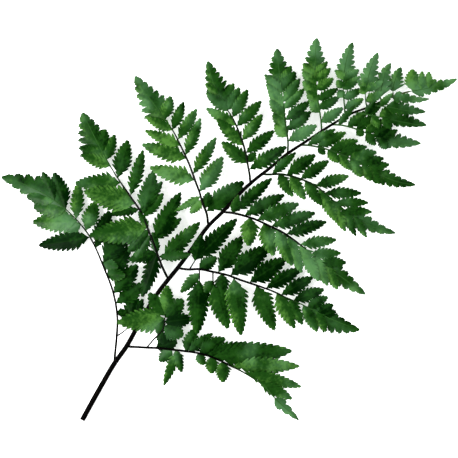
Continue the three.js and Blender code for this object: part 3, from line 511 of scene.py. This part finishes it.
def add_leaflet(skin, foot, tip, width, fall, side, look, rng):
    """A toothed leaflet: the profile times a row of forward lobes, cut deepest near the foot,
    on a surface that bows sideways, falls with the length to the power 1.3, slopes from its
    midrib to its edges and is tilted about it. A leaflet that points back to the frond's cut
    end has a blunt foot, and so has a short one; the others are narrow at the foot."""
    length = math.hypot(tip[0] - foot[0], tip[1] - foot[1])
    ahead = np.array([tip[0] - foot[0], tip[1] - foot[1]]) / length
    aside = np.array([-ahead[1], ahead[0]])
    half = width / 2 * FULLNESS
    teeth = int(np.clip(round(FIRST_TEETH + length / TOOTH_LENGTH), FEWEST_TEETH, MOST_TEETH))
    pitch = length * (1 - SHOULDER) / teeth
    base = np.linspace(0.0, SHOULDER, 5)[:-1]
    phase = np.concatenate([k + TOOTH_STEPS for k in range(teeth)])
    u = np.concatenate([base, SHOULDER + (1 - SHOULDER) * phase / teeth, [0.997]])
    phase = np.concatenate([(base - SHOULDER) * teeth, phase, [teeth - 0.03]])
    reach = half * profile(u, tip[0] < foot[0] or length < BLUNT_UNDER)
    big = np.clip((length - SMALL) / (GROWN - SMALL), 0, 1)
    deep = (0.16 + 0.42 * big) * (1 - u) ** 1.8 + 0.19
    most = 2.1 + 2.9 * big * (1 - u) ** 3
    depth = np.clip(np.minimum(deep, most / np.maximum(reach, 0.4)), 0, 0.8)
    depth[:4] = 0
    cut = 1 - depth * (1 - lobe(phase))
    narrow = np.clip(u / SHOULDER, 0.14, 1) ** (0.5 + 0.8 * big)
    narrow[4:] = 1
    eared = 1 + EAR * np.exp(-(((u - 0.2) / 0.1) ** 2))
    body = reach * cut * narrow + 0.1 * (u < 0.9)
    left, right = (body, body * eared) if side > 0 else (body * eared, body)
    push = TOOTH_PUSH * pitch * lobe(phase) * (u > SHOULDER) * (u < 0.96)
    turn = TURN * side * min(1, (length / LONG) ** 2)

    def place(rows, out):
        part = np.abs(out) / np.maximum(np.maximum(left, right), 0.05)[:, None]
        run = rows * length + SWEEP * np.abs(out) * (1 - rows**4) + push[:, None] * part**2
        v = np.clip(run / length, 0, 1)
        sideways = out + BOW * side * length * np.sin(np.pi * v)
        x = foot[0] + ahead[0] * run + aside[0] * sideways
        y = foot[1] + ahead[1] * run + aside[1] * sideways
        z = foot[2] - fall * length * v**1.3 - CAMBER * np.abs(out) + turn * out
        return np.stack([x, y, z], axis=-1)

    sun = aside[0] * SUNWARD[0] + aside[1] * SUNWARD[1]
    add_blade(skin, place, left, right, u, phase, pitch, reach, look, sun, rng)


def add_end_blade(skin, line, start, halves, lobes, look, rng):
    """The lobed, toothed blade that ends a pinna: a taper to the power 0.7 times a row of
    forward lobes, each with three small teeth, on the last part of the costa."""
    span = line.length - start
    base = np.linspace(0.0, END_FOOT, 4)[:-1]
    notches = [k + j / LOBE_TEETH for k in range(lobes) for j in range(LOBE_TEETH)]
    phase = np.concatenate([notch + TOOTH_STEPS / LOBE_TEETH for notch in notches])
    close = np.linspace(0, 0.32, 8)
    phase = np.concatenate([phase, lobes + close])
    u = np.concatenate([base, END_FOOT + (1 - END_FOOT) * phase / (lobes + END_POINT)])
    phase = np.concatenate([(base - END_FOOT) / (1 - END_FOOT) * (lobes + END_POINT), phase])
    turn = phase % 1.0
    swell = np.where(turn < 0.72, np.sin(turn / 0.72 * np.pi / 2) ** 0.8, ((1 - turn) / 0.28) ** 0.9)
    depth = np.where(phase < 0, 0.5, LOBE_NOTCH * (1 - 0.6 * u)) * (phase < lobes)
    toothed = TOOTH_NOTCH * (1 - lobe(turn * LOBE_TEETH)) * (phase > 0) * (u < 0.93)
    cut = END_FULLNESS * (1 - (depth + 0.1) * (1 - swell) - toothed)
    open_up = np.clip(u / END_FOOT, 0.2, 1)
    taper = (1 - np.clip(u, 0, 1)) ** 0.7
    left = halves[0] * taper * cut * open_up + 0.03
    right = halves[1] * taper * cut * open_up + 0.03

    def place(rows, out):
        s = start + span * rows
        ahead = line.heading(s)
        level = np.hypot(ahead[..., 0], ahead[..., 1])
        p = line.at(np.minimum(s + END_SWEEP * np.abs(out), line.length))
        p[..., 0] -= ahead[..., 1] / level * out
        p[..., 1] += ahead[..., 0] / level * out
        p[..., 2] -= CAMBER * np.abs(out)
        return p

    full = max(halves) * taper
    ahead = line.heading(np.array([start + 0.3 * span]))[0]
    sun = -ahead[1] * SUNWARD[0] + ahead[0] * SUNWARD[1]
    add_blade(skin, place, left, right, u, phase, span / lobes, full, look, sun, rng)


def costa_line(pinna):
    """The raised line of a pinna's stalk: it starts on the rachis, falls to its end with the
    length to the power 1.6 and is arched by a sine of the length to the power 0.6."""
    plan = np.array(pinna["costa"], float)
    steps = np.linalg.norm(np.diff(plan, axis=0), axis=1)
    t = np.concatenate([[0], np.cumsum(steps)]) / steps.sum()
    s, _ = rachis_line.nearest(*plan[0])
    root = rachis_line.at(s)
    z = root[2] + (pinna["end"] - root[2]) * t**1.6 + pinna["lift"] * np.sin(np.pi * t**0.6)
    points = np.column_stack([plan, z])
    points[0] = root
    return Line(through(points))


def side_stalk(plan, root):
    """A side stalk that rises from its root: each point by SIDE_RISE times its number times
    the last step along the frond."""
    plan = np.array(plan, float)
    rise = SIDE_RISE * np.arange(1, len(plan)) * np.abs(np.diff(plan[:, 0]))
    z = np.concatenate([[root[2]], root[2] + rise])
    points = np.column_stack([plan, z])
    points[0] = root
    return Line(through(points))


def rachis_radius(x):
    """Radius of the main stem at plan x, straight between the values of RACHIS."""
    table = np.array(RACHIS)
    return np.interp(x, table[:, 0], table[:, 3])


def flattened(line):
    """The same line with its heights settled on the table."""
    samples = line.p.copy()
    samples[:, 2] = settled(samples[:, 2])
    return Line(samples)


def add_costa(skin, pinna, stalk):
    """The stalk of a pinna: thicker on a long pinna, slimmer and greener towards the frond's
    tip. A lower one is dark to half way along it, and all are green in their last part."""
    is_tip = pinna["name"] == "frond_tip"
    foot_x = pinna["costa"][0][0]
    start = 0.0 if is_tip else rachis_radius(foot_x) + STUB - OVERLAP
    apex_start = pinna["apex"][0]
    size = min(1.0, stalk.length / LONG_COSTA)
    spare = COSTA_FOOT - COSTA_TIP - COSTA_SPARE
    thick = TIP_STALK if is_tip else COSTA_TIP + COSTA_SPARE + spare * (0.35 + 0.65 * size)
    slim = np.interp(foot_x, [SLIM_FROM, SLIM_TO], [1.0, SLIM])
    at_foot = 0.9 if is_tip else float(np.interp(foot_x, [GREEN_FROM, GREEN_TO], [0.0, GREEN]))

    def radius(s):
        places = [start, 0.6 * apex_start, apex_start, stalk.length]
        radii = [slim * thick, 0.82 * slim * thick, slim * COSTA_TIP, COSTA_POINT]
        return np.interp(s, places, radii)

    def green(s):
        return np.interp(s / stalk.length, [0, 0.5, 0.85], [at_foot, 0.12 + at_foot * 0.78, 0.9])

    add_tube(skin, stalk, start, stalk.length - 1.0, radius, green, 0.2)


def add_side_stalk(skin, side):
    """A side stalk of a twice divided leaflet, nearly black."""

    def radius(s):
        return np.interp(s, [0, side.length], SIDE_STALK)

    def green(s):
        return np.full_like(s, 0.15)

    add_tube(skin, side, 0, side.length, radius, green, 0.0)


def add_leaflets(skin, pinna, arch, stalk, side_lines, painted_sheen, rng):
    """The leaflets of a pinna, each from the nearest point of its stalks."""
    side_tones_and_shade = SIDE_TONE_AND_SHADE[pinna["name"]]
    own_tones_and_shade = OWN_TONE_AND_SHADE.get(pinna["name"], {})
    for count, leaflet in enumerate(pinna["leaflets"]):
        foot_x, foot_y, tip_x, tip_y, width = leaflet[:5]
        s, away = stalk.nearest(foot_x, foot_y)
        foot = arch.at(s)
        ahead = arch.heading(s)
        for side_line in side_lines:
            t, near = side_line.nearest(foot_x, foot_y)
            if near < away:
                away = near
                foot = side_line.at(t)
        left_of = ahead[0] * (tip_y - foot[1]) - ahead[1] * (tip_x - foot[0]) > 0
        side = 1 if left_of else -1
        fall = leaflet[5] if len(leaflet) > 5 else pinna["drop"][0 if left_of else 1]
        # the tone of the leaflet's side, painted light and shade, with a random spread of its own tone
        tone = side_tones_and_shade[0 if left_of else 1] + rng.uniform(-TONE_SPREAD, TONE_SPREAD)
        # a listed leaflet takes its own painted light and shade instead
        tone = own_tones_and_shade.get(count, tone)
        add_leaflet(skin, foot, (tip_x, tip_y), width, fall, side, (tone, painted_sheen), rng)


def make_pinna(pinna, number, shift):
    """One green pinna: stalk, side stalks, leaflets and end blade in one mesh."""
    rng = np.random.default_rng(100 + number)
    skin = Skin()
    arch = costa_line(pinna)
    stalk = flattened(arch)
    add_costa(skin, pinna, stalk)
    side_lines = []
    for plan in pinna["stalks"]:
        s, _ = arch.nearest(*plan[0])
        side_lines.append(side_stalk(plan, arch.at(s)))
        add_side_stalk(skin, side_lines[-1])
    painted_sheen = PAINTED_SHEEN.get(pinna["name"], 0.0)
    add_leaflets(skin, pinna, arch, stalk, side_lines, painted_sheen, rng)
    side_tones_and_shade = SIDE_TONE_AND_SHADE[pinna["name"]]
    tone = 0.5 * (side_tones_and_shade[0] + side_tones_and_shade[1]) + rng.uniform(-END_SPREAD, END_SPREAD)
    apex_start, left_half, right_half, lobes = pinna["apex"]
    look = (tone, min(1, painted_sheen + END_PAINTED_SHEEN))
    add_end_blade(skin, arch, apex_start, (left_half, right_half), lobes, look, rng)
    piece = skin.mesh(pinna["name"] + "_leaf", shift)
    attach(piece, "root")
    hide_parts(pinna["name"])
    return piece


def add_stub(skin, pinna):
    """The dark foot of a pinna's stalk, from inside the rachis to STUB beyond its surface."""
    line = costa_line(pinna)
    foot_x = pinna["costa"][0][0]
    width = rachis_radius(foot_x)
    reach = width + STUB
    shade = float(np.interp(foot_x, [330, 390], [0.0, 0.5]))

    def radius(s):
        return np.interp(s, [0, width, reach], [0.95, 0.9, 0.8]) * min(1, 0.4 + width / 2.6)

    def green(s):
        return np.full_like(s, shade)

    add_tube(skin, line, 0.1, reach, radius, green, 0.0, 10, 0.6, 0.1)


def make_stem(shift):
    """The dark stipe and rachis, furrowed on its upper side, with the foot of each pinna."""
    skin = Skin()

    def radius(s):
        return rachis_radius(rachis_line.at(s)[..., 0])

    def green(s):
        return np.interp(s, [0, rachis_line.length - 70, rachis_line.length], [0.0, 0.0, 0.75])

    add_tube(skin, rachis_line, 0, rachis_line.length, radius, green, 0.0, 24, 1.5, 0.13, True)
    for pinna in PINNAE:
        if pinna["name"] != "frond_tip":
            add_stub(skin, pinna)
    piece = skin.mesh("stem", shift)
    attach(piece, "root")
    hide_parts("stipe_and_rachis")
    return piece


def finish_tree(name):
    """A new material with an empty node tree, and its shader joined to the output."""
    material = bpy.data.materials.new(name)
    material.use_nodes = True
    tree = material.node_tree
    tree.nodes.clear()
    shader = tree.nodes.new("ShaderNodeBsdfPrincipled")
    output = tree.nodes.new("ShaderNodeOutputMaterial")
    tree.links.new(shader.outputs["BSDF"], output.inputs["Surface"])
    return material, tree, shader


def feed(tree, socket, value):
    """Puts a number or colour on a socket, or joins another node's output to it."""
    if isinstance(value, bpy.types.NodeSocket):
        tree.links.new(value, socket)
    elif isinstance(value, tuple) and len(value) == 3:
        socket.default_value = (*value, 1.0)
    else:
        socket.default_value = value


def maths(tree, operation, a, b=0.0, c=0.0):
    """One operation on up to three numbers."""
    node = tree.nodes.new("ShaderNodeMath")
    node.operation = operation
    for socket, value in zip(node.inputs, (a, b, c)):
        feed(tree, socket, value)
    return node.outputs[0]


def ranged(tree, value, low, high, to_low=0.0, to_high=1.0):
    """value from low..high to to_low..to_high, clamped and eased."""
    node = tree.nodes.new("ShaderNodeMapRange")
    node.interpolation_type = "SMOOTHSTEP"
    for socket, number in zip(node.inputs, (value, low, high, to_low, to_high)):
        feed(tree, socket, number)
    return node.outputs[0]


def blended(tree, part, a, b):
    """Colour a turned to colour b by a part between 0 and 1."""
    node = tree.nodes.new("ShaderNodeMix")
    node.data_type = "RGBA"
    feed(tree, node.inputs[0], part)
    feed(tree, node.inputs[6], a)
    feed(tree, node.inputs[7], b)
    return node.outputs[2]


def read_vector(tree, name):
    """The three numbers that the mesh carries under a name."""
    source = tree.nodes.new("ShaderNodeAttribute")
    source.attribute_name = name
    split = tree.nodes.new("ShaderNodeSeparateXYZ")
    tree.links.new(source.outputs["Vector"], split.inputs[0])
    return split.outputs


def mottle(tree, per_metre, detail=3.0):
    """Cloudy noise on Object coordinates, from 0 to 1."""
    place = tree.nodes.new("ShaderNodeTexCoord")
    noise = tree.nodes.new("ShaderNodeTexNoise")
    noise.inputs["Scale"].default_value = per_metre
    noise.inputs["Detail"].default_value = detail
    tree.links.new(place.outputs["Object"], noise.inputs["Vector"])
    return noise.outputs["Fac"]


GRAIN_DEPTH = 0.0002  # depth of the fine grain in both finishes, m


def roughen(tree, shader, height, strength):
    """A fine grain in the light on a surface, from a noise."""
    bump = tree.nodes.new("ShaderNodeBump")
    bump.inputs["Strength"].default_value = strength
    bump.inputs["Distance"].default_value = GRAIN_DEPTH
    feed(tree, bump.inputs["Height"], height)
    tree.links.new(bump.outputs["Normal"], shader.inputs["Normal"])


DEEP_GREEN = (0.0002, 0.0055, 0.0002)
MID_GREEN = (0.0045, 0.028, 0.002)
LIGHT_GREEN = (0.036, 0.103, 0.014)
# the colour of the painted sheen
SHEEN_GREEN = (0.05, 0.125, 0.052)
VEIN_GREEN = (0.02, 0.07, 0.01)
UNDER_GREEN = (0.05, 0.12, 0.035)
STALK_GREEN = (0.015, 0.055, 0.009)
STEM_BLACK = (0.0006, 0.0005, 0.0004)
STEM_OLIVE = (0.04, 0.055, 0.012)
CUT_TAN = (0.30, 0.22, 0.10)
STREAK_BROWN = (0.008, 0.004, 0.002)

# how fine the noises are, per metre
SHEEN_CLOUDS = 38.0
BROAD_CLOUDS = 75.0
STEM_STREAKS = 300.0
SMALL_CLOUDS = 420.0
LEAF_GRAIN = 700.0

BROAD_SHARE, SMALL_SHARE = 2.6, 1.5  # how much the broad and small clouds change the tone
SHEEN_SPREAD = 0.24  # how much a full painted sheen adds to its clouds
SHEEN_FROM, SHEEN_TO, SHEEN_MOST = 0.48, 0.76, 0.6  # where they begin to show, how much at most


def leaf_finish():
    """Satin green blades: painted shade in the furrows and painted light on the lobes, with broad
    and small clouds of lighter green, a painted bluish sheen in places and a paler underside. The
    deeper a leaflet's own tone is, the less it shines and the less painted sheen it shows."""
    material, tree, shader = finish_tree("fern_leaf")
    own, sheen_or_green, on_blade = read_vector(tree, "tint")
    vein, across, upper = read_vector(tree, "blade")
    cloud = mottle(tree, BROAD_CLOUDS)
    grain = mottle(tree, SMALL_CLOUDS, 2.0)
    broad = maths(tree, "MULTIPLY_ADD", cloud, BROAD_SHARE, -BROAD_SHARE / 2)
    small = maths(tree, "MULTIPLY_ADD", grain, SMALL_SHARE, -SMALL_SHARE / 2)
    tone = maths(tree, "ADD", maths(tree, "ADD", own, broad), small)
    aside = maths(tree, "ABSOLUTE", across)
    # painted shade along the notch lines between the lobes and painted light on the lobe middles,
    # stronger towards the blade's margins
    between = maths(tree, "PINGPONG", vein, 0.5)
    furrow = ranged(tree, between, 0.0, 0.25, -0.7, 0.15)
    furrow = maths(tree, "MULTIPLY", furrow, ranged(tree, aside, 0.35, 0.95))
    tone = maths(tree, "ADD", tone, maths(tree, "MULTIPLY", furrow, on_blade))
    low = blended(tree, ranged(tree, tone, -1.1, 0.0), DEEP_GREEN, MID_GREEN)
    colour = blended(tree, ranged(tree, tone, 0.0, 1.1), low, LIGHT_GREEN)
    # painted sheen: bluish highlight patches laid into the blade colour from these clouds and each
    # pinna's sheen amount, fading on deep leaflets
    clouds = mottle(tree, SHEEN_CLOUDS, 4.0)
    cover = maths(tree, "MULTIPLY_ADD", sheen_or_green, SHEEN_SPREAD, clouds)
    painted_sheen = ranged(tree, cover, SHEEN_FROM, SHEEN_TO, 0.0, SHEEN_MOST)
    painted_sheen = maths(tree, "MULTIPLY", painted_sheen, ranged(tree, own, -0.7, 0.3, 0.1, 1.0))
    colour = blended(tree, maths(tree, "MULTIPLY", painted_sheen, on_blade), colour, SHEEN_GREEN)
    midrib = maths(tree, "MULTIPLY", ranged(tree, aside, 0.02, 0.12, 0.08, 0.0), on_blade)
    colour = blended(tree, midrib, colour, VEIN_GREEN)
    under = maths(tree, "SUBTRACT", 1.0, ranged(tree, upper, 0.0, 0.9))
    colour = blended(tree, maths(tree, "MULTIPLY", under, 0.75), colour, UNDER_GREEN)
    stalk = blended(tree, ranged(tree, sheen_or_green, 0.1, 0.9), STEM_BLACK, STALK_GREEN)
    colour = blended(tree, on_blade, stalk, colour)
    feed(tree, shader.inputs["Base Color"], colour)
    fine = mottle(tree, LEAF_GRAIN, 2.0)
    feed(tree, shader.inputs["Roughness"], ranged(tree, fine, 0.2, 0.8, 0.25, 0.34))
    feed(tree, shader.inputs["Specular IOR Level"], ranged(tree, own, -0.9, 0.1, 0.02, 0.1))
    shader.inputs["IOR"].default_value = 1.3
    roughen(tree, shader, fine, 0.35)
    return material


def stem_finish():
    """The hard polished skin of the stem: near black, olive towards the tip, tan at the cut."""
    material, tree, shader = finish_tree("fern_stem")
    _, green, cut = read_vector(tree, "tint")
    streak = mottle(tree, STEM_STREAKS)
    skin = blended(tree, ranged(tree, green, 0.1, 1.0), STEM_BLACK, STEM_OLIVE)
    skin = blended(tree, ranged(tree, streak, 0.5, 0.9, 0.0, 0.5), skin, STREAK_BROWN)
    colour = blended(tree, ranged(tree, cut, 0.2, 1.0), skin, CUT_TAN)
    feed(tree, shader.inputs["Base Color"], colour)
    shader.inputs["Roughness"].default_value = 0.42
    shader.inputs["Specular IOR Level"].default_value = 0.08
    shader.inputs["IOR"].default_value = 1.15
    roughen(tree, shader, streak, 0.3)
    return material


TABLE_HALF = 3.0  # half the side of the table top, m
TABLE_GAP = 0.0002  # how far its face lies under the frond, m
TABLE_GLOW = 0.25  # enough that no shadow shows on it
KEY_PLACE, KEY_SIZE, KEY_WATTS = (-0.75, 0.68, 1.55), 0.8, 45
FILL_PLACE, FILL_SIZE, FILL_WATTS = (1.3, -0.6, 1.6), 1.4, 10
SKY_STRENGTH = 1.7


def floor_and_light():
    """A white table top that glows a little, a broad soft light from over the frond's left and
    its cut end, a weak one opposite and an even pale sky."""
    corners = [(-1, -1), (1, -1), (1, 1), (-1, 1)]
    mesh = bpy.data.meshes.new("table_top")
    places = [(x * TABLE_HALF, y * TABLE_HALF, -TABLE_GAP) for x, y in corners]
    mesh.from_pydata(places, [], [(0, 1, 2, 3)])
    top = bpy.data.objects.new("table_top", mesh)
    bpy.context.collection.objects.link(top)
    material, _, shader = finish_tree("table_white")
    shader.inputs["Base Color"].default_value = (1, 1, 1, 1)
    shader.inputs["Emission Color"].default_value = (1, 1, 1, 1)
    shader.inputs["Emission Strength"].default_value = TABLE_GLOW
    shader.inputs["Roughness"].default_value = 0.9
    mesh.materials.append(material)

    def lamp(name, place, size, watts, mirrored):
        data = bpy.data.lights.new(name, "AREA")
        data.size = size
        data.energy = watts
        light = bpy.data.objects.new(name, data)
        light.location = place
        light.visible_glossy = mirrored
        light.rotation_mode = "QUATERNION"
        light.rotation_quaternion = (-Vector(place)).to_track_quat("-Z", "Y")
        bpy.context.collection.objects.link(light)

    lamp("key", KEY_PLACE, KEY_SIZE, KEY_WATTS, True)
    lamp("fill", FILL_PLACE, FILL_SIZE, FILL_WATTS, False)
    world = bpy.data.worlds.new("pale_sky")
    world.use_nodes = True
    world.node_tree.nodes["Background"].inputs["Color"].default_value = (1, 1, 1, 1)
    world.node_tree.nodes["Background"].inputs["Strength"].default_value = SKY_STRENGTH
    world.cycles_visibility.glossy = False
    bpy.context.scene.world = world
    bpy.context.scene.view_settings.view_transform = "Standard"


PHOTO_SIDE = 458  # pixels
MM_PER_PIXEL = 0.85
TURNED = math.radians(42.3)  # how far the frond's x axis is turned up from the photo's bottom
CENTRE = (201.5, 36.15)  # plan point at the middle of the photo, mm
DISTANCE = 5.0  # from the camera to the table, m


def set_camera(shift):
    """A long lens straight above the frond, rolled so that the frond rises to the right."""
    data = bpy.data.cameras.new("camera")
    data.sensor_width = 36
    data.lens = data.sensor_width * DISTANCE / (PHOTO_SIDE * MM_PER_PIXEL * MM)
    data.clip_end = 50
    camera = bpy.data.objects.new("camera", data)
    c, s = math.cos(TURNED), math.sin(TURNED)
    camera.matrix_world = Matrix(
        (
            (c, s, 0, CENTRE[0] * MM + shift[0]),
            (-s, c, 0, CENTRE[1] * MM + shift[1]),
            (0, 0, 1, DISTANCE),
            (0, 0, 0, 1),
        )
    )
    bpy.context.collection.objects.link(camera)
    bpy.context.scene.camera = camera


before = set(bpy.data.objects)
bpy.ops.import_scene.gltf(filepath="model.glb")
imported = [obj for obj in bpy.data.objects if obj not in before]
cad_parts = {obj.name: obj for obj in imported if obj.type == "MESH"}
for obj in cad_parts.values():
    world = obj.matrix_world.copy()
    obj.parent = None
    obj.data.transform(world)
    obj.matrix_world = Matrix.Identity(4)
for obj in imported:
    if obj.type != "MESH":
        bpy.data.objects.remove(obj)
box_low, box_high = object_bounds()
shift = np.array([box_high.x - TIP_X * MM, box_high.y - SIDE_Y * MM, 0.0])
rachis_line = Line(through([row[:3] for row in RACHIS]))
leaf = leaf_finish()
stem = stem_finish()
make_stem(shift).data.materials.append(stem)
for number, pinna in enumerate(PINNAE):
    make_pinna(pinna, number, shift).data.materials.append(leaf)
floor_and_light()
set_camera(shift)
